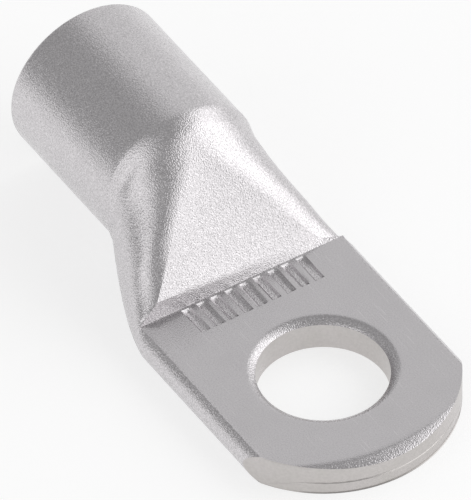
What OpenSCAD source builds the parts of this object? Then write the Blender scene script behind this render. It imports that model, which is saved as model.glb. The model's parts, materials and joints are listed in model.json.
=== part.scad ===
// Tube terminal (cable lug): one piece of copper tube, tin-plated.
// The barrel is the tube as drawn. Past it the tube is pressed flat between a level lower die
// and a sloping upper die, which makes the neck, and then between two level dies, which makes
// the palm of two walls lying on each other. The palm is punched for the stud and sheared to a
// round tip. The cable is crimped into the barrel and the palm is bolted down.
//
// Frame: the origin is on the stud hole's axis, in the plane of the palm's underside.
// +X runs from the barrel to the tip, +Y across the palm, +Z up through the stud hole.

/* [Tube] */
// Outer diameter of the barrel
barrel_d = 11.1; // [9.5:0.1:14]
// Thickness of the tube's wall
barrel_wall = 1.2; // [0.9:0.05:1.6]
// Length of the barrel that stays round, from its mouth to the start of the neck
barrel_len = 11.9; // [8:0.1:30]
// Lead-in chamfer round the inside of the mouth
mouth_lead = 0.4; // [0.1:0.05:0.6]
// Broken edge round the outside of the mouth
mouth_break = 0.2; // [0.05:0.05:0.25]

/* [Neck] */
// Length of the sloping neck, from the round barrel to the crease
neck_len = 6.3; // [5:0.1:12]
// Reach of the soft bend where the barrel's top turns into the slope, to each side of it
bend_reach = 0.9; // [0.3:0.1:1.8]
// Height of the small steep heel that the upper die's edge leaves above the crease
heel_h = 0.7; // [0.2:0.05:1.2]
// Length of that heel along the lug
heel_run = 0.3; // [0.1:0.05:0.8]
// Angle at which the folded sides meet the slope just above the heel; 0 is a half-round side
heel_edge = 25; // [0:1:40]
// How far past the crease the sides still widen
flare_past = 0.8; // [0.3:0.1:2.5]
// How the sides ease into the palm: 1 is a straight flare, 2 a parabola
flare_ease = 1.25; // [1:0.05:2]

/* [Palm] */
// How much the press thins the two walls that make the palm
press_in = 0.15; // [0:0.05:0.4]
// Angle at which the palm's folded sides meet its pressed faces; 0 is a half-round side
fold_edge = 39; // [0:1:50]
// Distance from the crease to the axis of the stud hole
palm_len = 9.3; // [8.5:0.1:16]
// Diameter of the stud hole, a free fit for its bolt
stud_d = 8.4; // [5.3:0.1:10.5]
// Distance from the axis of the stud hole to the end of the tip
tip_reach = 8.65; // [7.5:0.05:14]
// How much larger than half the palm's width the radius of the tip is
tip_flatter = 0.6; // [0.1:0.1:4]
// Reach of the roll-over that the punch leaves round the stud hole's upper edge
hole_roll = 0.8; // [0.4:0.05:1]
// How far that edge has sunk
hole_drop = 0.3; // [0.1:0.05:0.4]
// Reach of the roll-over that the shear leaves along the middle of the tip's upper edge
tip_roll = 1.1; // [0.5:0.05:1.3]
// How far that edge has sunk
tip_drop = 0.35; // [0.1:0.05:0.5]
// Distance from the palm's sides at which that roll-over runs out
roll_end = 1.4; // [1.2:0.05:2.5]

/* [Hidden] */
$fn = 128;
eps = 0.01;                                    // keeps faces that only touch out of each other's way
overlap = 0.4;                                 // how far joined solids run into each other
step = 0.03;                                   // how far a loft starts inside the round solid it joins
far = 40;                                      // past everything, for cutting solids

barrel_r = barrel_d / 2;
bore_r = barrel_r - barrel_wall;
palm_t = 2 * barrel_wall - press_in;           // the two walls, pressed together
fold_r = palm_t / 2 / cos(fold_edge);          // the palm's sides are arcs between its two faces
fold_girth = PI * (1 - fold_edge / 90);        // girth of such an arc, over its radius
// Flattening keeps the girth of the tube
palm_w = PI / 2 * barrel_d - fold_r * (fold_girth - 2 * (1 - sin(fold_edge)));
crease_x = -palm_len;
heel_x = crease_x - heel_run;
heel_top = palm_t + heel_h;
neck_x = crease_x - neck_len;                  // where the slope would meet the barrel's top
bend_x = neck_x - bend_reach;                  // where the soft bend begins
mouth_x = neck_x - barrel_len;
flare_x = crease_x + flare_past;
tip_r = palm_w / 2 + tip_flatter;
tip_x = tip_reach - tip_r;                     // centre of the tip's arc
end_y = palm_w / 2 - roll_end;                 // where the roll-over meets the tip's edge
end_x = tip_x + sqrt(pow(tip_r, 2) - pow(end_y, 2));
roll_span = tip_reach - tip_roll - end_x;      // how far the line where it begins bows forward
roll_line_r = (pow(roll_span, 2) + pow(end_y, 2)) / (2 * roll_span);
slope = (barrel_d - heel_top) / (heel_x - neck_x);

arc_steps = 20;                                // facets on each half-round side of the neck
bend_steps = 8;                                // rings along the soft bend
slope_steps = 14;                              // rings along the slope
flare_steps = 5;                               // rings past the crease

// Height of the tube's top above the underside, along the lug
function top_z(x) =
    x <= bend_x ? barrel_d
    : x <= neck_x + bend_reach ? barrel_d - slope * pow(x - bend_x, 2) / (4 * bend_reach)
    : x <= heel_x ? barrel_d - slope * (x - neck_x)
    : x <= crease_x ? heel_top - heel_h * (x - heel_x) / heel_run
    : palm_t;

// How steeply that top falls, for the wall under it
function fall(x) = min(slope, max(0, slope * (x - bend_x) / (2 * bend_reach)));

// Width of the tube along the lug: it opens where the neck begins and eases into the palm
function width(x) =
    x <= neck_x ? barrel_d
    : palm_w - (palm_w - barrel_d) * pow((flare_x - min(x, flare_x)) / (flare_x - neck_x), flare_ease);

// Angle at which the sides meet the pressed faces: the dies bite in more towards the palm
function edge(x) =
    x <= neck_x ? 0
    : x <= heel_x ? heel_edge * (x - neck_x) / (heel_x - neck_x)
    : x <= crease_x ? heel_edge + (fold_edge - heel_edge) * (x - heel_x) / heel_run
    : fold_edge;

// Height of the hollow under the top: the sloping wall is as thick across as the tube's wall
function hollow_h(x) = top_z(x) - barrel_wall * (1 + sqrt(1 + pow(fall(x), 2)));

// Cross-section of a flattened tube: flat above and below, with an arc at each side
function section(x, low, h, w, edge = 0) = let (r = h / 2 / cos(edge)) [
    for (side = [1, -1], k = [0 : arc_steps])
        let (turn = edge + (180 - 2 * edge) * k / arc_steps)
        [x, side * (w / 2 - r + r * sin(turn)), low + h / 2 + side * r * cos(turn)]
];

// Evenly spaced stations after one place along the lug, up to another
function stations(from, to, steps) = [for (k = [1 : steps]) from + (to - from) * k / steps];

// Solid through a row of sections
module loft(rings) {
    n = len(rings[0]);
    last = len(rings) - 1;
    skin = [
        for (i = [0 : last - 1], j = [0 : n - 1])
            let (a = i * n + j, b = i * n + (j + 1) % n)
            each [[a, b, b + n], [a, b + n, a + n]]
    ];
    ends = [[for (j = [n - 1 : -1 : 0]) j], [for (j = [0 : n - 1]) last * n + j]];
    polyhedron([for (ring = rings) each ring], concat(skin, ends), convexity = 4);
}

// Cylinder along X
module rod_x(x0, x1, r0, r1) {
    translate([x0, 0, barrel_r]) rotate([0, 90, 0]) cylinder(h = x1 - x0, r1 = r0, r2 = r1);
}

// Round barrel, as the tube was drawn
module barrel() {
    difference() {
        rod_x(mouth_x, bend_x, barrel_r, barrel_r);
        difference() {
            rod_x(mouth_x - eps, mouth_x + mouth_break, barrel_r + 1, barrel_r + 1);
            rod_x(mouth_x - 1, mouth_x + mouth_break, barrel_r - mouth_break - 1, barrel_r);
        }
    }
}

// Neck, from inside the round barrel to the place where the sides stop widening
module neck() {
    slim_d = barrel_d - 2 * step;
    rings = [
        for (x = [bend_x - overlap, bend_x]) section(x, step, slim_d, slim_d),
        for (x = concat(
            stations(bend_x, neck_x + bend_reach, bend_steps),
            stations(neck_x + bend_reach, heel_x, slope_steps),
            [crease_x],
            stations(crease_x, flare_x, flare_steps)
        )) section(x, 0, top_z(x), width(x) - (x == flare_x ? 2 * step : 0), edge(x))
    ];
    loft(rings);
}

// Palm: two walls on each other, with the folded sides between its faces and the tip sheared
module palm() {
    difference() {
        intersection() {
            translate([flare_x, 0, palm_t / 2]) rotate([90, 0, 90]) linear_extrude(far) palm_section();
            union() {
                translate([tip_x - far, -far / 2, -1]) cube([far, far, palm_t + 2]);
                translate([tip_x, 0, -1]) cylinder(h = palm_t + 2, r = tip_r);
            }
        }
        translate([tip_reach - tip_roll - roll_line_r, 0, 0])
            sunk_edge(roll_line_r, tip_roll, tip_drop, 1);
    }
}

// Section of the palm, with its middle at the origin
module palm_section() {
    flat_w = palm_w - 2 * fold_r;
    intersection() {
        square([far, palm_t], center = true);
        union() {
            square([flat_w, palm_t + 1], center = true);
            for (side = [1, -1]) translate([side * flat_w / 2, 0]) circle(r = fold_r);
        }
    }
}

// What a sunk upper edge lacks: from a line of radius r, an arc falls by drop over reach, outwards
// or, where reach is negative, inwards. It is cut a little past the edge.
module sunk_edge(r, reach, drop, past) {
    roll = (pow(reach, 2) + pow(drop, 2)) / (2 * drop);
    rotate_extrude() translate([r, palm_t]) difference() {
        translate([reach > 0 ? 0 : reach - past, -drop]) square([abs(reach) + past, drop + 1]);
        translate([0, -roll]) circle(r = roll);
    }
}

// Hollow of the tube: the round bore for the cable, then the space that closes towards the crease
module hollow() {
    wedge_h = 0.1;                             // what is left open where the walls meet
    close_x = neck_x + (barrel_d - wedge_h - barrel_wall * (1 + sqrt(1 + pow(slope, 2)))) / slope;
    rod_x(mouth_x - 1, bend_x, bore_r, bore_r);
    rod_x(mouth_x - eps, mouth_x + mouth_lead, bore_r + mouth_lead + eps, bore_r);
    slim_d = 2 * (bore_r - step);
    loft([
        for (x = [bend_x - overlap, bend_x]) section(x, barrel_wall + step, slim_d, slim_d),
        for (x = concat(
            stations(bend_x, neck_x + bend_reach, bend_steps),
            stations(neck_x + bend_reach, close_x, slope_steps)
        )) section(x, barrel_wall, hollow_h(x), width(x) - 2 * barrel_wall)
    ]);
}

// Stud hole, with the punch's roll-over round its upper edge
module stud_hole() {
    translate([0, 0, -1]) cylinder(h = palm_t + 2, d = stud_d);
    sunk_edge(stud_d / 2 + hole_roll, -hole_roll, hole_drop, eps);
}

module cable_lug() {
    color("silver") difference() {
        union() {
            barrel();
            neck();
            palm();
        }
        hollow();
        stud_hole();
    }
}

cable_lug();
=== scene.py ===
# %% [markdown]
# # A tinned copper cable lug
#
# The object is one piece of copper tube. Its barrel takes the bared end of a cable, and its other
# end is pressed flat, punched for a stud, sheared to a round tip and tin-plated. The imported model
# gives its place and main sizes; what follows gives it a fine skin, a finish, a floor and lamps.

import json
from math import cos, pi, sin

import bpy
import numpy as np
from mathutils import Matrix, Vector


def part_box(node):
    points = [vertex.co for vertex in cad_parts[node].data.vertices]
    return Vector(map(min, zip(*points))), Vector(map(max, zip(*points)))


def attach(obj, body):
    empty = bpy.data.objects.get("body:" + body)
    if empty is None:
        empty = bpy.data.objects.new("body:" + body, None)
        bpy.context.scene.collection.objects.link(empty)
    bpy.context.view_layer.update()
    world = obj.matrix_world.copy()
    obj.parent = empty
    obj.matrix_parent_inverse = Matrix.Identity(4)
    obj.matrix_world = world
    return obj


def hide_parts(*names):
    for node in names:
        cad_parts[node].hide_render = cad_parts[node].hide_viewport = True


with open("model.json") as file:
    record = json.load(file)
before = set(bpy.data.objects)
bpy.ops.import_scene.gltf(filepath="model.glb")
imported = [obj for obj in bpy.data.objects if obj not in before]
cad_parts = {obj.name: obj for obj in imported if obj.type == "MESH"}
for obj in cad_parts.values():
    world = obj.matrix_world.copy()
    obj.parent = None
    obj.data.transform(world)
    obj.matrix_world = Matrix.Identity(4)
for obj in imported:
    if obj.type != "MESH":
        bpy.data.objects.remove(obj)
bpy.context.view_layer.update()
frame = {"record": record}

# %% [markdown]
# ## Sizes
#
# Everything that a neighbour of the lug depends on is read from the frame: the lug's box, the
# radius of the stud hole and of the cable bore, and the palm's thickness. The sizes of the neck,
# which touches nothing, are named here. Lengths are in millimetres until the mesh is made.

# %% Sizes from the frame
MM = 0.001
low, high = (np.array(corner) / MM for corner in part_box("cable_lug"))
mounts = {mount["name"]: mount for mount in frame["record"]["mounts"]}

mouth_x = low[0]
tip_reach = high[0]
barrel_d = high[2]
palm_w = high[1] - low[1]
palm_t = mounts["palm_top"]["pos_m"][2] / MM
stud_r = mounts["stud_hole"]["dims"]["r_mm"]
bore_r = mounts["cable_bore"]["dims"]["r_mm"]
barrel_r = barrel_d / 2
wall = barrel_r - bore_r

palm_len = 9.3      # crease to the stud hole's axis
neck_len = 6.3      # round barrel to crease
bend_reach = 0.9    # half-length of the soft bend at the top of the neck
heel_h = 0.7        # height of the steep heel over the crease
heel_run = 0.3      # length of that heel along the lug
flare_past = 0.8    # the sides still widen this far past the crease
flare_ease = 1.25   # 1 is a straight flare, 2 a parabola
heel_edge = 25.0    # degrees at which the sides meet the slope, just above the heel
fold_edge = 39.0    # degrees at which the sides meet the palm's faces
crease_edge = 62.0  # the same right at the crease, where the die bites furthest out
tip_flatter = 0.6   # radius of the tip over half the palm's width

crease_x = -palm_len
heel_x = crease_x - heel_run
neck_x = crease_x - neck_len
bend_x = neck_x - bend_reach
flare_x = crease_x + flare_past
slope = (barrel_d - palm_t - heel_h) / (heel_x - neck_x)
tip_r = palm_w / 2 + tip_flatter
tip_x = tip_reach - tip_r
print(f"barrel {barrel_d:.2f} mm, palm {palm_w:.2f} x {palm_t:.2f} mm, stud hole {2 * stud_r:.2f} mm")

# %% [markdown]
# ## The tube's section
#
# A tube that is pressed flat keeps its girth. Its section goes from a circle to a flat slot shape:
# two straight walls joined by two folds. Where the dies press hard they also squeeze the folds, so
# that the flats meet them at an angle, in an edge that shows as a fine line along the palm. One
# function of a few widths, heights and angles draws every section of the lug. A fixed number of
# points lies on each flat, so the grid's long lines follow those edges exactly.

# %% Section of a flattened tube
FLAT, FOLD = 54, 26         # steps on half a flat, and on half a fold
AROUND = 4 * (FLAT + FOLD)  # points round the girth
EVEN = FLAT / (FLAT + FOLD)


def quarter_round(flat, side, rise, angle, share):
    """Y and height over the widest level, from the middle of a flat to the widest point at the side.

    On the flat y = s. On the fold, psi grows evenly from angle to 90 degrees,
    y = flat + (side - flat) (sin psi - sin angle) / (1 - sin angle) and z = rise cos psi / cos angle.
    The first FLAT steps take the given share of the way; a share of 0 ends them at the flat's edge.
    """
    across = (side - flat) / (1 - np.sin(angle))
    upright = rise / np.cos(angle)
    fold = (across + upright) / 2 * (np.pi / 2 - angle)
    share = np.where(share > 0, share, flat / (flat + fold))
    on_flat = np.linspace(0, 1, FLAT + 1)
    on_fold = np.linspace(0, 1, FOLD + 1)[1:]
    s = (flat + fold) * np.concatenate([share * on_flat, share + (1 - share) * on_fold], -1)
    psi = angle + np.clip((s - flat) / fold, 0, 1) * (np.pi / 2 - angle)
    y = np.where(s <= flat, s, flat + across * (np.sin(psi) - np.sin(angle)))
    return y, upright * np.cos(psi)


def section(flat, side, foot, level, top, angle_over, angle_under, share=None):
    """Y and Z of points round each section, from the middle of the top towards +Y.

    The upper quarters fall from the flat of half-width flat to the widest level; the lower quarters
    are arcs of a circle down to the foot. A share of 0, or none, puts the FLAT-th points on the edges.
    """
    columns = (flat, side, foot, level, top, np.radians(angle_over), np.radians(angle_under))
    flat, side, foot, level, top, over, under = (np.asarray(value, float)[:, None] for value in columns)
    share = np.zeros_like(flat) if share is None else np.asarray(share, float)[:, None]
    y_up, z_up = quarter_round(flat, side, top - level, over, share)
    r = (level - foot) / np.cos(under)
    y_down, z_down = quarter_round(side - r * (1 - np.sin(under)), side, level - foot, under, share)
    last = FLAT + FOLD
    around_y = [y_up[:, :last], y_down[:, :0:-1], -y_down[:, :last], -y_up[:, :0:-1]]
    around_z = [z_up[:, :last], -z_down[:, :0:-1], -z_down[:, :last], z_up[:, :0:-1]]
    return np.concatenate(around_y, -1), level + np.concatenate(around_z, -1)


# %% [markdown]
# ## The neck's curves
#
# The upper die presses the tube along a slope. Seen from the side, the top is level, bends softly,
# falls in a straight line, and ends in a short steep heel where the die for the palm has bitten
# in. Seen from above, the sides open to the palm's width, and the flat that the sloping die leaves
# is a tongue that widens from a point to the heel. The tube's widest level sinks early, because
# the sides lean in over the level lower die, so the section is shaped like a D that lies on its back.

# %% Top line, width and flats along the lug
tongue_x = -14.4    # the tip of the tongue-shaped flat
tongue_rate = 1.25  # how much the tongue's half-width grows for each millimetre
tongue_soft = 0.5   # length over which that growth starts
edge_start = 2.5    # the sides' edges appear this far past the tongue's tip
edge_fade = 0.45    # the edges' peak at the crease dies away over about this length
level_sink = 2.2    # how early the widest level sinks: 1 is an even fall


def ramp(x, start, end):
    """0 up to start, 1 from end on, 3u^2 - 2u^3 between."""
    u = np.clip((np.asarray(x, float) - start) / (end - start), 0, 1)
    return u * u * (3 - 2 * u)


def top_line(x):
    """Height of the top: level, a parabola that turns into the slope, the slope, the heel, the palm."""
    x = np.asarray(x, float)
    bend = slope * np.clip(x - bend_x, 0, 2 * bend_reach) ** 2 / (4 * bend_reach)
    past = slope * np.clip(x - neck_x - bend_reach, 0, None)
    heel = palm_t + heel_h * (crease_x - x) / heel_run
    return np.where(x <= heel_x, barrel_d - bend - past, np.maximum(heel, palm_t))


def half_width(x):
    """Half the width: the palm's, less a part that falls with u ** flare_ease along the flare."""
    u = np.clip((flare_x - np.asarray(x, float)) / (flare_x - neck_x), 0, 1)
    return (palm_w - (palm_w - barrel_d) * u**flare_ease) / 2


def widest_level(x):
    """Height at which the tube is widest: half the barrel's, sinking to half the palm's."""
    u = np.clip((heel_x - np.asarray(x, float)) / (heel_x - bend_x), 0, 1)
    return palm_t / 2 + (barrel_r - palm_t / 2) * u**level_sink


def angle_over(x):
    """Degrees at which the sides leave the upper flat: none at the tongue's tip, a peak at the crease."""
    x = np.asarray(x, float)
    neck_part = heel_edge * ramp(x, tongue_x + edge_start, heel_x)
    heel_part = (crease_edge - heel_edge) * np.clip((x - heel_x) / heel_run, 0, 1)
    past = np.clip(x - crease_x, 0, None)
    palm_part = fold_edge + (crease_edge - fold_edge) * np.exp(-past / edge_fade)
    return np.where(x <= crease_x, neck_part + heel_part, palm_part)


def angle_under(x):
    """Degrees at which the sides leave the lower flat."""
    return fold_edge * np.clip((np.asarray(x, float) - neck_x) / (crease_x - neck_x), 0, 1)


def upper_flat(x):
    """Half-width of the upper flat: a line from the tongue's tip, rounded at its start; the palm's.

    With d the distance past the tip, the rounded line is rate (d + sqrt(d^2 + soft^2)) / 2.
    """
    x = np.asarray(x, float)
    past = x - tongue_x
    tongue = tongue_rate * (past + np.sqrt(past**2 + tongue_soft**2)) / 2 * ramp(x, bend_x, tongue_x)
    angle = np.radians(angle_over(x))
    pressed = half_width(x) - palm_t / 2 / np.cos(angle) * (1 - np.sin(angle))
    onto_palm = np.clip((x - heel_x) / heel_run, 0, 1)
    return tongue + (pressed - tongue) * onto_palm


def tube_section(x):
    """The outside's section at each station.

    Along the barrel the points are evenly spaced. From the tongue's tip on they move over to steps
    that end on the flats' edges.
    """
    flat, side, level, top = upper_flat(x), half_width(x), widest_level(x), top_line(x)
    angle = np.radians(angle_over(x))
    fold_r = ((side - flat) / (1 - np.sin(angle)) + (top - level) / np.cos(angle)) / 2
    fold = fold_r * (np.pi / 2 - angle)
    blend = ramp(x, tongue_x - 0.5, tongue_x + 3)
    share = np.where(blend < 1, (1 - blend) * EVEN + blend * flat / (flat + fold), 0)
    return section(flat, side, 0 * x, level, top, angle_over(x), angle_under(x), share)


# %% [markdown]
# ## Laying the grid along the lug
#
# The skin is one grid: rows round the tube, one behind the other. It starts in the hollow, runs
# out through the mouth, turns over the rim and comes back along the outside to the tip, so it is
# closed and every face looks out of the metal. The rows are close together where the form turns
# quickly. On the palm the rows bend step by step until the last one lies on the tip's arc.

# %% Rows of the outside


def steps(start, end, size):
    """Evenly spaced values after start, up to and with end, about size apart."""
    count = max(1, int(round(abs(end - start) / size)))
    return start + (end - start) * np.arange(1, count + 1) / count


mouth_break = 0.2   # radius of the mouth's outer edge
warp_x = -5.9       # past this the rows bend towards the tip's arc
quarter = np.linspace(0, np.pi / 2, 6)

break_x = mouth_x + mouth_break * (1 - np.cos(quarter))
break_r = barrel_r - mouth_break * (1 - np.sin(quarter))
straight_x = np.concatenate([
    steps(break_x[-1], bend_x, 0.5),
    steps(bend_x, neck_x + bend_reach, 0.12),
    steps(neck_x + bend_reach, heel_x, 0.16),
    steps(heel_x, crease_x, 0.06),
    steps(crease_x, -6.0, 0.075),
    [warp_x],
])
ring_end = 0.84     # share of the way to the tip up to which the grid makes room for the stud hole
ring_share = steps(0, ring_end, 0.021)
last_share = ring_end + (1 - ring_end) * (1 - (1 - steps(0, 1, 1 / 24)) ** 1.5)
share = np.concatenate([ring_share, last_share])
print("rows:", len(break_x) + len(straight_x) + len(share))


def round_rows(x, radius):
    """Circles about the barrel's axis: y = radius sin t and z = barrel_r + radius cos t at each x."""
    turn = 2 * np.pi * np.arange(AROUND) / AROUND
    y = radius[:, None] * np.sin(turn)
    z = barrel_r + radius[:, None] * np.cos(turn)
    return np.stack([np.repeat(x[:, None], AROUND, 1), y, z], -1)


def outer_rows():
    """Rows of the barrel, neck and palm, each a section at its own station."""
    y, z = tube_section(straight_x)
    return np.stack([np.repeat(straight_x[:, None], AROUND, 1), y, z], -1)


def tip_rows():
    """Rows from the warp to the tip's arc: x = warp_x + share (arc - warp_x).

    The arc is tip_x + sqrt(tip_r^2 - y^2).
    """
    y, z = tube_section(np.full(len(share), warp_x))
    arc = tip_x + np.sqrt(np.clip(tip_r**2 - y**2, 0, None))
    x = warp_x + share[:, None] * (arc - warp_x)
    return np.stack([x, y, z], -1)


# %% [markdown]
# ## What the tools left on the palm
#
# A shear and a punch pull the upper edge down before they cut: the edge is rolled over, wide and
# shallow. The two walls of the tube meet in a fine seam that shows in the sheared face. A press
# mark next to the crease is a row of plain even bars, and the heel is higher on one side, because
# the die sat a little askew.

# %% Roll-over, bars and heel
tip_roll = (1.1, 0.35)      # reach along the face, drop at the edge
hole_roll = (0.8, 0.3)      # the same round the stud hole
roll_end = 1.4              # distance from the palm's sides at which the tip's roll-over runs out
bar_pitch = 1.05            # from bar to bar across the palm
bar_count = 9
bar_w = 0.5
bar_depth = 0.16
bar_ends = (-9.1, -6.9)     # where the bars start and end along the lug
bar_blur = 0.08             # how far their edges are rounded, to each side
heel_skew = 0.07            # extra height of the neck for each millimetre towards -Y, at the heel
tongue_swell = 0.2          # the sloping flat stands this far out half-way down
tongue_dish = 0.08          # slope at the edges of the shallow hollow across that flat
near = 0.02                 # a point this near a face is on it


def rolled(run, reach, drop):
    """How far a face has sunk, a run past the line where it starts: an arc that falls by drop over reach."""
    r = (reach**2 + drop**2) / (2 * drop)
    return r - np.sqrt(r**2 - np.clip(run, 0, reach) ** 2)


# Seen from above, the tip's roll-over starts on an arc that is flatter than the tip's own
end_y = palm_w / 2 - roll_end
roll_span = tip_reach - tip_roll[0] - tip_x - np.sqrt(tip_r**2 - end_y**2)
roll_line_r = (roll_span**2 + end_y**2) / (2 * roll_span)


def press_mark(x, y):
    """Depth of the row of bars: at the nearest bar, a soft slot across Y times one along X."""
    last_bar = (bar_count - 1) / 2
    bar_y = np.clip(np.round(y / bar_pitch + last_bar) - last_bar, -last_bar, last_bar) * bar_pitch
    across = 1 - ramp(np.abs(y - bar_y), bar_w / 2 - bar_blur, bar_w / 2 + bar_blur)
    starts = ramp(x, bar_ends[0] - bar_blur, bar_ends[0] + bar_blur)
    ends = ramp(x, bar_ends[1] - bar_blur, bar_ends[1] + bar_blur)
    return bar_depth * across * starts * (1 - ends)


def worked(points):
    """The palm and neck after the tools: heel askew, bars pressed in, tip rolled over."""
    x, y, z = np.moveaxis(points, -1, 0)
    top = np.clip(z / top_line(np.minimum(x, warp_x)) * 2 - 1, 0, 1)
    down_slope = np.clip((x - neck_x) / (heel_x - neck_x), 0, 1)
    z = z - heel_skew * y * down_slope * np.clip((crease_x - x) / heel_run, 0, 1) * top
    flat = upper_flat(x)
    dished = tongue_dish * flat / 2 * (1 - np.clip(np.abs(y) / (flat + 1e-6), 0, 1) ** 2)
    z = z + np.sin(np.pi * down_slope) * (tongue_swell * top - dished * (top > 0.5))
    on_top = (points[..., 2] > palm_t - near) & (x > crease_x)
    z = z - press_mark(x, y) * on_top
    past_line = np.hypot(x - (tip_reach - tip_roll[0] - roll_line_r), y) - roll_line_r
    z = np.where(x > 0, np.minimum(z, palm_t - rolled(past_line, *tip_roll)), z)
    return np.stack([x, y, z], -1)


# %% [markdown]
# ## The hollow
#
# The bore stays round as far as the barrel does. Under the slope the hollow follows the outside,
# one wall's thickness in, until the two walls meet. Across a sloping wall the thickness is measured
# at right angles to it, so straight down it is larger by the square root of 1 + slope squared.

# %% Rows of the inside
mouth_lead = 0.4    # size of the mouth's inner chamfer
closing = 0.1       # what is left open where the walls meet
tighter = 0.3       # the tongue is this much narrower inside, to each side


def fall(x):
    """How steeply the top falls at a station."""
    return np.clip(slope * (np.asarray(x, float) - bend_x) / (2 * bend_reach), 0, slope)


def hollow_rows():
    """Rows from the place where the walls meet back to the mouth, and over its inner chamfer."""
    drop = wall * (1 + np.sqrt(1 + slope**2))
    close_x = neck_x + (barrel_d - closing - drop) / slope
    x = np.concatenate([
        [bend_x],
        steps(bend_x, neck_x + bend_reach, 0.2),
        steps(neck_x + bend_reach, close_x, 0.3),
    ])[::-1]
    top = top_line(x) - wall * np.sqrt(1 + fall(x) ** 2)
    level = wall + (top - wall) * (widest_level(x) / top_line(x))
    flat = np.clip(upper_flat(x) - tighter * ramp(x, tongue_x, heel_x), 0, None)
    y, z = section(flat, half_width(x) - wall, 0 * x + wall, level, top, 0 * x, 0 * x, 0 * x + EVEN)
    wedge = np.stack([np.repeat(x[:, None], AROUND, 1), y, z], -1)
    lead_x = mouth_x + mouth_lead
    x = np.concatenate([steps(bend_x, lead_x, 1.0), mouth_x + mouth_lead * np.array([0.66, 0.33, 0.0])])
    bore = round_rows(x, bore_r + np.clip(lead_x - x, 0, None))
    return np.concatenate([wedge, bore])


# %% [markdown]
# ## Sewing the skin
#
# Points and faces are gathered in lists. A grid of point numbers stands for each stretch of
# surface, and faces go between neighbouring rows. Stretches share the points of their common
# edge, so the skin has no seams: the tip's sheared face shares the last row, and the ring round
# the stud hole shares the edge of the opening that is left for it in the palm's two faces.

# %% Points and faces
points = []
faces = []
finish_of_faces = []
DRAWN, CUT = 0, 1   # finish of the tube's own surface, and of its punched and sheared faces


def add(block):
    """Keeps a block of points and returns their numbers in the block's own shape."""
    start = sum(len(part) for part in points)
    points.append(np.reshape(block, (-1, 3)))
    return start + np.arange(points[-1].shape[0]).reshape(np.shape(block)[:-1])


def sew(rows, closed, finish, keep=None):
    """Faces between rows of point numbers: (i, k), (i + 1, k), (i + 1, k + 1), (i, k + 1)."""
    after = np.roll(rows, -1, 1) if closed else rows[:, 1:]
    here = rows if closed else rows[:, :-1]
    quads = np.stack([here[:-1], here[1:], after[1:], after[:-1]], -1)
    quads = quads[keep] if keep is not None else quads.reshape(-1, 4)
    faces.append(quads)
    finish_of_faces.append(np.full(len(quads), finish))


inside = hollow_rows()
outside = worked(np.concatenate([round_rows(break_x, break_r), outer_rows(), tip_rows()]))
grid = add(np.concatenate([inside, outside]))

# The opening for the stud hole: rows first_row to last_row, half_cols to each side of the middle
first_row = len(inside) + len(break_x) + len(straight_x) - 1
last_row = first_row + len(ring_share)
half_cols = 46
keep = np.ones((len(grid) - 1, AROUND), bool)
columns = np.arange(-half_cols, half_cols)
for middle in (0, AROUND // 2):
    keep[first_row:last_row, (middle + columns) % AROUND] = False
sew(grid, True, DRAWN, keep)
print("grid:", grid.shape, "faces so far:", len(faces[0]))

# %% [markdown]
# ## The stud hole
#
# The opening in the grid is roughly square and the hole is round. Straight lines from the
# opening's edge towards the hole's axis carry the face down to the circle, as the spokes of a
# wheel do. They go over the rolled edge, down the punched wall and out again below.

# %% Ring round the stud hole


def edge_of_opening(side):
    """Point numbers round the opening, clockwise from above; side is +1 on top and -1 underneath."""
    def column(k):
        return k % AROUND if side > 0 else (AROUND // 2 - k) % AROUND

    along_y = np.arange(-half_cols, half_cols)
    along_x = np.arange(first_row, last_row)
    return np.concatenate([
        [grid[first_row, column(k)] for k in along_y],
        [grid[i, column(half_cols)] for i in along_x],
        [grid[last_row, column(k)] for k in -along_y],
        [grid[i, column(-half_cols)] for i in along_x + 1][::-1],
    ])


upper_edge, lower_edge = edge_of_opening(1), edge_of_opening(-1)
placed = np.concatenate(points)
spoke_ends = placed[upper_edge]
bearing = np.arctan2(spoke_ends[:, 1], spoke_ends[:, 0])
reach = np.hypot(spoke_ends[:, 0], spoke_ends[:, 1])


def spokes(radius, height):
    """Points at each spoke's bearing; radius is one number a row, or one for each spoke."""
    radius = np.broadcast_to(radius, (len(height), len(bearing)))
    x, y = radius * np.cos(bearing), radius * np.sin(bearing)
    return np.stack([x, y, np.repeat(np.asarray(height, float)[:, None], len(bearing), 1)], -1)


inward = steps(0, 1, 1 / 10)
outward = steps(0, 1, 1 / 9)[:-1]   # the last step below is the opening's own edge
rim_r = stud_r + hole_roll[0]
foot_break = 0.07                   # the lower edge is hardly broken
foot_r = stud_r + foot_break
upper_face = spokes(reach + (rim_r - reach) * inward[:, None], np.full(len(inward), palm_t))
roll_run = hole_roll[0] * inward
roll = spokes((rim_r - roll_run)[:, None], palm_t - rolled(roll_run, *hole_roll))
wall_z = steps(palm_t - hole_roll[1], foot_break, 0.22)
punched = spokes(np.full((len(wall_z), 1), stud_r), wall_z)
foot_steps = np.array([0.3, 1.0]) * foot_break
lower_rim = spokes(stud_r + foot_steps[:, None], [foot_steps[0], 0.0])
lower_face = spokes(foot_r + (reach - foot_r) * outward[:, None], np.zeros(len(outward)))

face_rows = np.concatenate([upper_edge[None], add(np.concatenate([upper_face, roll]))])
wall_rows = np.concatenate([face_rows[-1:], add(np.concatenate([punched, lower_rim]))])
below_rows = np.concatenate([wall_rows[-1:], add(lower_face), lower_edge[None]])
sew(face_rows, True, DRAWN)
sew(wall_rows, True, CUT)
sew(below_rows, True, DRAWN)
print("spokes round the stud hole:", len(bearing))

# %% [markdown]
# ## The two ends
#
# The tip's sheared face runs straight down from each point of the upper edge to its twin below.
# A fine groove half-way down is the seam between the two walls of the tube. In the hollow, the
# last row closes in the same way where the walls meet.

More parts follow.
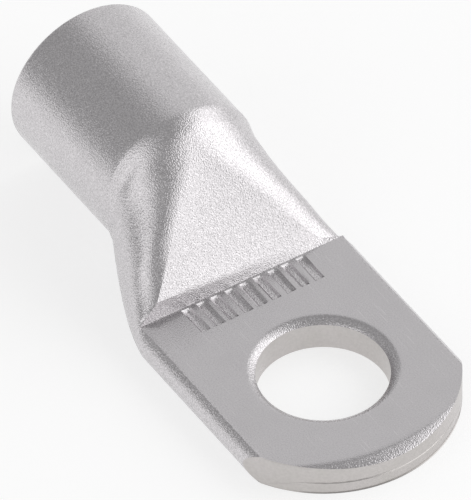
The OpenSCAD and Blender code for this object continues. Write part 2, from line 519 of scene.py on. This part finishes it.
# %% Sheared tip and closed hollow
seam_depth = 0.06
seam_width = 0.05
seam_ends = (5.3, 7.9)  # distances from the middle between which the seam runs down to the foot
seam_z = 0.87       # the upper wall has taken up the roll-over, so the seam is below the middle
torn_back = 0.07    # how far the torn lower wall stands back at its foot
half = np.arange(-AROUND // 4, AROUND // 4 + 1)


def close(row, levels, finish, flip, shape=lambda between: between):
    """Closes a row with straight lines between twins; the outermost points are their own twins.

    Levels are the shares of the way down at which new rows lie. At each side a fan of triangles
    goes from the outermost point to the lines next to it.
    """
    over, under = row[half % AROUND], row[(AROUND // 2 - half) % AROUND]
    placed = np.concatenate(points)
    level = np.asarray(levels)[:, None, None]
    between = placed[over[1:-1]] * (1 - level) + placed[under[1:-1]] * level
    rows = np.concatenate([over[None, 1:-1], add(shape(between)), under[None, 1:-1]])
    sew(rows[:, ::-1] if flip else rows, False, finish)
    for end, column, turned in ((over[0], rows[:, 0], flip), (over[-1], rows[:, -1], not flip)):
        fan = np.stack([np.full(len(column) - 1, end), column[:-1], column[1:], column[1:]], -1)
        faces.append(fan if turned else fan[:, [0, 2, 1, 1]])
        finish_of_faces.append(np.full(len(fan), finish))


def seamed(between):
    """The sheared face: x falls by a narrow bell curve at the seam, then evenly down to the foot.

    The seam lies at seam_z in the middle and sinks to the foot between seam_ends on each side.
    """
    x, y, z = np.moveaxis(between, -1, 0)
    seam = seam_z * (1 - ramp(np.abs(y), *seam_ends)) + near
    groove = seam_depth * np.exp(-(((z - seam) / seam_width) ** 2))
    torn = torn_back * np.clip(1 - z / seam, 0, 1) * np.clip(seam / seam_z, 0, 1)
    return np.stack([x - groove - torn, y, z], -1)


face_levels = np.concatenate([steps(0, 0.44, 0.09), steps(0.44, 0.64, 0.0125), steps(0.64, 0.98, 0.03)])
close(grid[-1], face_levels, CUT, False, seamed)
close(grid[0], np.array([0.5]), DRAWN, True)
all_points = np.concatenate(points) * MM
all_faces = np.concatenate(faces)
all_finishes = np.concatenate(finish_of_faces)


def pressed_share(at):
    """1 on the palm's two pressed faces and 0 elsewhere: ramps over X, over Y and over the height."""
    x, y, z = np.moveaxis(at / MM, -1, 0)
    inside_edge = 1 - ramp(np.abs(y), upper_flat(x) - 0.25, upper_flat(x) + 0.05)
    face = np.maximum(ramp(z, palm_t - 0.08, palm_t - 0.02), 1 - ramp(z, 0.02, 0.08))
    return ramp(x, crease_x, crease_x + 0.2) * inside_edge * face


pressed = pressed_share(all_points)
print("points:", len(all_points), "faces:", len(all_faces), "pressed smooth:", int((pressed > 0.5).sum()))

# %% [markdown]
# ## Into the mesh
#
# The arrays go into one Blender mesh. Points that lie inside the opening for the stud hole belong
# to no face and are dropped first. The skin is shaded smooth, except where it turns through more
# than the angle of a real edge.

# %% The lug's mesh
EDGE_ANGLE = np.radians(20)


def mesh_object(name, coordinates, quads, finish_numbers, **shares):
    """A mesh object from arrays; a face whose last two corners agree becomes a triangle.

    Each share becomes an attribute of the points, for the material to read.
    """
    used, renumbered = np.unique(quads, return_inverse=True)
    quads = renumbered.reshape(quads.shape)
    is_triangle = quads[:, 2] == quads[:, 3]
    sizes = np.where(is_triangle, 3, 4)
    corner_used = np.ones(quads.shape, bool)
    corner_used[is_triangle, 3] = False
    corners = quads[corner_used]
    mesh = bpy.data.meshes.new(name)
    mesh.vertices.add(len(used))
    mesh.vertices.foreach_set("co", coordinates[used].ravel())
    mesh.loops.add(len(corners))
    mesh.loops.foreach_set("vertex_index", corners)
    mesh.polygons.add(len(sizes))
    mesh.polygons.foreach_set("loop_start", np.concatenate([[0], np.cumsum(sizes)[:-1]]))
    mesh.polygons.foreach_set("material_index", finish_numbers)
    mesh.update(calc_edges=True)
    mesh.validate()
    mesh.polygons.foreach_set("use_smooth", np.ones(len(sizes), bool))
    mesh.set_sharp_from_angle(angle=EDGE_ANGLE)
    for share_name, values in shares.items():
        attribute = mesh.attributes.new(share_name, "FLOAT", "POINT")
        attribute.data.foreach_set("value", values[used].astype(np.float32))
    made = bpy.data.objects.new(name, mesh)
    bpy.context.scene.collection.objects.link(made)
    return made


lug = mesh_object("lug_skin", all_points, all_faces, all_finishes, pressed=pressed)
print("lug:", len(lug.data.vertices), "points,", len(lug.data.polygons), "faces")

# %% [markdown]
# ## Helpers for materials
#
# Colours are written as the hex values that one would read off a colour chart, and Blender works in
# linear light, so one function converts them. A second small function adds a node, sets what it is
# given and returns it. With these two, a material reads as a list of what it does to the surface.

# %% Colours and nodes


def linear(hex_colour):
    """Linear RGBA of an sRGB hex colour: ((c + 0.055) / 1.055) ** 2.4 above the short straight foot."""
    channels = [int(hex_colour[i:i + 2], 16) / 255 for i in (1, 3, 5)]
    return [c / 12.92 if c <= 0.04045 else ((c + 0.055) / 1.055) ** 2.4 for c in channels] + [1.0]


def node(tree, kind, settings=None, **links):
    """Adds a node, sets its properties, and feeds its inputs: a socket is linked, a value is set.

    An input is named with _ for a space, or i and its number where several share a name.
    """
    made = tree.nodes.new(kind)
    for name, value in (settings or {}).items():
        setattr(made, name, value)
    for name, value in links.items():
        key = int(name[1:]) if name[0] == "i" and name[1:].isdigit() else name.replace("_", " ")
        socket = made.inputs[key]
        if isinstance(value, bpy.types.NodeSocket):
            tree.links.new(value, socket)
        else:
            socket.default_value = value
    return made


def new_material(name):
    """A material with an empty node tree."""
    material = bpy.data.materials.new(name)
    material.use_nodes = True
    material.node_tree.nodes.clear()
    return material


# %% [markdown]
# ## Tin plating
#
# After pressing and punching, the copper is pickled, which etches its grain, and then plated with a
# few thousandths of a millimetre of tin. The tin is bright in itself, but it follows the etched
# copper, so every reflection is broken into a fine, worm-like speckle. That is why the grain is a
# noise of 0.09 mm, as fine as the real one, which tilts the surface (the bump) and also tones it a
# little with painted shade: darker in the pits, where shade falls, and a little lighter on what stands out.
#
# The dies have pressed the palm smooth. Its `pressed` share, given to the mesh above, flattens the
# grain there, and only there the tin shows short fine scratches from handling. The cut faces, in
# the stud hole and on the sheared tip, have no drawn grain, so they have a smoother finish of their
# own. Both finishes are plain metal with no coat, because tin plate isn't varnished.

# %% Tin plating, drawn and cut
PIT_SHADE, LAND_LIGHT = 1.3, 0.7      # painted shade in the pits weighs more than the painted light on what stands out
PRESSED_TONE = 0.82         # tone of the pressed faces, which the dies leave a little duller
PRESSED_SHARE = 0.7         # share of the painted grain shade that the dies take away
PRESSED_DEPTH = 0.3         # share of the grain's depth that they leave
CLOUD = 2.5                 # size in mm of the plating's slow changes of tint and gloss
CLOUD_GLOSS = 0.03          # how far these change the roughness, to each side
SCRATCH = (2.0, 0.05)       # length and width in mm of a scratch
SCRATCH_TURN = 0.5          # radians from the lug's length
SCRATCH_TONE = 0.14


def tin_plating(name, grain_mm, grain_depth, painted_grain_shade, roughness, tint):
    """Tin on copper: the grain's size and depth in mm, the share of tone of its painted shade, and two
    tints.
    """
    material = new_material(name)
    tree = material.node_tree
    place = node(tree, "ShaderNodeTexCoord").outputs["Object"]
    smooth = node(tree, "ShaderNodeAttribute", {"attribute_name": "pressed"}).outputs["Fac"]

    height = node(
        tree, "ShaderNodeTexNoise", Vector=place, Scale=1 / (grain_mm * MM), Detail=1.0, Roughness=0.6,
    ).outputs["Fac"]
    # Painted shade: the colour follows the grain's noise, darker in its pits and a little lighter where it
    # stands out
    grain_shade_tone = node(
        tree, "ShaderNodeMapRange", Value=height, From_Min=0.3, From_Max=0.7,
        To_Min=1 - PIT_SHADE * painted_grain_shade, To_Max=1 + LAND_LIGHT * painted_grain_shade,
    ).outputs["Result"]
    worn = node(tree, "ShaderNodeMath", {"operation": "MULTIPLY"}, i0=smooth, i1=PRESSED_SHARE).outputs[0]
    grain_shade_tone = node(
        tree, "ShaderNodeMix", {"data_type": "FLOAT"}, Factor=worn, A=grain_shade_tone, B=PRESSED_TONE,
    ).outputs["Result"]

    # Scratches: a noise drawn out to the size of a scratch, of which only the peaks are kept
    stretch = (1 / (SCRATCH[0] * MM), 1 / (SCRATCH[1] * MM), 1 / MM)
    drawn_out = node(tree, "ShaderNodeMapping", Vector=place, Rotation=(0, 0, SCRATCH_TURN), Scale=stretch)
    streak = node(tree, "ShaderNodeTexNoise", Vector=drawn_out.outputs[0], Scale=1.0, Detail=0.0)
    scratch = node(
        tree, "ShaderNodeMapRange", Value=streak.outputs["Fac"],
        From_Min=0.75, From_Max=0.83, To_Max=SCRATCH_TONE,
    ).outputs["Result"]
    scratch = node(tree, "ShaderNodeMath", {"operation": "MULTIPLY"}, i0=scratch, i1=smooth).outputs[0]
    tone = node(tree, "ShaderNodeMath", {"operation": "ADD"}, i0=grain_shade_tone, i1=scratch).outputs[0]

    cloud = node(
        tree, "ShaderNodeTexNoise", Vector=place, Scale=1 / (CLOUD * MM), Detail=3.0, Roughness=0.55,
    ).outputs["Fac"]
    colour = node(tree, "ShaderNodeMix", {"data_type": "RGBA"}, Factor=cloud)
    colour.inputs["A"].default_value = linear(tint[0])
    colour.inputs["B"].default_value = linear(tint[1])
    toned = node(
        tree, "ShaderNodeVectorMath", {"operation": "SCALE"}, Vector=colour.outputs["Result"], Scale=tone,
    )
    rough = node(
        tree, "ShaderNodeMapRange", Value=cloud, From_Min=0.3, From_Max=0.7,
        To_Min=roughness - CLOUD_GLOSS, To_Max=roughness + CLOUD_GLOSS,
    )
    depth = node(
        tree, "ShaderNodeMapRange", Value=smooth,
        To_Min=grain_depth * MM, To_Max=PRESSED_DEPTH * grain_depth * MM,
    )
    bump = node(tree, "ShaderNodeBump", Strength=1.0, Distance=depth.outputs["Result"], Height=height)
    metal = node(
        tree, "ShaderNodeBsdfPrincipled", Base_Color=toned.outputs["Vector"], Metallic=1.0,
        Roughness=rough.outputs["Result"], Normal=bump.outputs["Normal"],
    )
    node(tree, "ShaderNodeOutputMaterial", Surface=metal.outputs["BSDF"])
    return material


drawn_tin = tin_plating("tin_plated_drawn_copper", 0.09, 0.03, 0.19, 0.16, ("#DAD7D9", "#D5D2D4"))
cut_tin = tin_plating("tin_plated_cut_copper", 0.2, 0.006, 0.04, 0.3, ("#CFCACA", "#C3C0BC"))
lug.data.materials.append(drawn_tin)
lug.data.materials.append(cut_tin)
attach(lug, "root")
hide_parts("cable_lug")

# %% [markdown]
# ## Floor and light
#
# A small bright metal part shows little but what it mirrors, so the light is planned for the
# reflections: the lug lies on white paper under an even, dim dome, with four round softboxes. The
# left one brightens the near side and the ridge of the fold, the slope mirrors the right one, the
# side one lights the slope's far edge, and the back one lies along the barrel, a little past its
# top. What mirrors none of them stays dim: that is the grey band down the barrel and beside the slope.
#
# The camera and the metal see the paper nearly white. Part of that is its own glow, and the rest is
# what the lamps give it, so that the shadow stays. What the paper scatters onto the lug is that of
# plain white paper. The world is white to the camera, and a dim dome to the metal.

# %% Floor, world and lamps
PAPER_SHADE = 0.45      # what the seen paper gives back of the light, so that the shadow shows
PAPER_GLOW = 0.65       # what it glows by itself
DOME = 0.42             # brightness of the dome that the metal mirrors
FLOOR_HALF = 3.0        # metres
WHITE = (1, 1, 1, 1)

floor_mesh = bpy.data.meshes.new("floor")
corners = [(FLOOR_HALF * x, FLOOR_HALF * y, 0) for x, y in ((-1, -1), (1, -1), (1, 1), (-1, 1))]
floor_mesh.from_pydata(corners, [], [(0, 1, 2, 3)])
floor = bpy.data.objects.new("floor", floor_mesh)
bpy.context.scene.collection.objects.link(floor)

paper = new_material("white_paper_sweep")
tree = paper.node_tree
path = node(tree, "ShaderNodeLightPath").outputs
seen = path["Is Camera Ray"]
for kind_of_ray in ("Is Glossy Ray", "Is Transmission Ray"):
    seen = node(tree, "ShaderNodeMath", {"operation": "MAXIMUM"}, i0=seen, i1=path[kind_of_ray]).outputs[0]
plain = node(tree, "ShaderNodeBsdfDiffuse", Color=(0.8, 0.8, 0.8, 1))
shaded = node(tree, "ShaderNodeBsdfDiffuse", Color=(PAPER_SHADE, PAPER_SHADE, PAPER_SHADE, 1))
glow = node(tree, "ShaderNodeEmission", Color=WHITE, Strength=PAPER_GLOW)
white = node(tree, "ShaderNodeAddShader", i0=shaded.outputs[0], i1=glow.outputs[0])
mixed = node(tree, "ShaderNodeMixShader", Fac=seen, i1=plain.outputs[0], i2=white.outputs[0])
node(tree, "ShaderNodeOutputMaterial", Surface=mixed.outputs[0])
floor_mesh.materials.append(paper)

world = bpy.data.worlds.new("studio")
bpy.context.scene.world = world
world.use_nodes = True
tree = world.node_tree
tree.nodes.clear()
to_camera = node(tree, "ShaderNodeLightPath").outputs["Is Camera Ray"]
dome = node(tree, "ShaderNodeBackground", Color=WHITE, Strength=DOME)
white = node(tree, "ShaderNodeBackground", Color=WHITE, Strength=1.0)
mixed = node(tree, "ShaderNodeMixShader", Fac=to_camera, i1=dome.outputs[0], i2=white.outputs[0])
node(tree, "ShaderNodeOutputWorld", Surface=mixed.outputs[0])

LAMP_DISTANCE = 0.6
LAMP_TARGET = Vector((-0.01, 0, 0.004))     # the middle of the lug


def softbox(name, azimuth, elevation, size, radiance):
    """A round lamp that looks at the lug.

    The azimuth is in degrees from +X towards +Y, and the radiance is power over pi times the area.
    """
    a, e = np.radians([azimuth, elevation]).tolist()
    away = Vector((cos(a) * cos(e), sin(a) * cos(e), sin(e)))
    lamp = bpy.data.lights.new(name, "AREA")
    lamp.shape = "DISK"
    lamp.size = size
    lamp.energy = radiance * pi * (pi * size**2 / 4)
    holder = bpy.data.objects.new(name, lamp)
    holder.location = away * LAMP_DISTANCE + LAMP_TARGET
    holder.rotation_euler = away.to_track_quat("Z", "Y").to_euler()
    bpy.context.scene.collection.objects.link(holder)


softbox("left_softbox", -75, 24, 0.7, 0.63)
softbox("right_softbox", 38, 20, 0.62, 0.93)
softbox("side_softbox", 78, 32, 0.62, 0.96)
softbox("back_softbox", 130, 28, 0.8, 0.35)

# %% [markdown]
# ## Camera
#
# A long lens from far off, as small goods are photographed: nearly parallel lines stay parallel. It
# looks down at 44 degrees over the palm's near side, so the slope, the hole and the sheared tip all
# show. Its place is given by two angles, a slight roll and a distance from the point it looks at.

# %% Camera
azimuth, elevation, roll = np.radians([57.875, 43.977, -0.81]).tolist()
distance = 0.7992
lens = 924.9        # mm, on a 36 mm sensor
aim_point = Vector((-0.010, 0.0, 0.003))
rise = 0.00101      # the camera stands this much higher in its own frame, which lowers the lug in it

back = Vector((sin(azimuth) * cos(elevation), -cos(azimuth) * cos(elevation), sin(elevation)))
level = Vector((cos(azimuth), sin(azimuth), 0))
upright = back.cross(level)
right = cos(roll) * level + sin(roll) * upright
up = -sin(roll) * level + cos(roll) * upright
camera_data = bpy.data.cameras.new("camera")
camera_data.lens = lens
camera_data.sensor_width = 36
camera = bpy.data.objects.new("camera", camera_data)
centre = aim_point + rise * up + distance * back
turn = Matrix((right, up, back)).transposed().to_4x4()
camera.matrix_world = Matrix.Translation(centre) @ turn
bpy.context.scene.collection.objects.link(camera)
bpy.context.scene.camera = camera

# %% View settings
bpy.context.scene.view_settings.view_transform = "Standard"
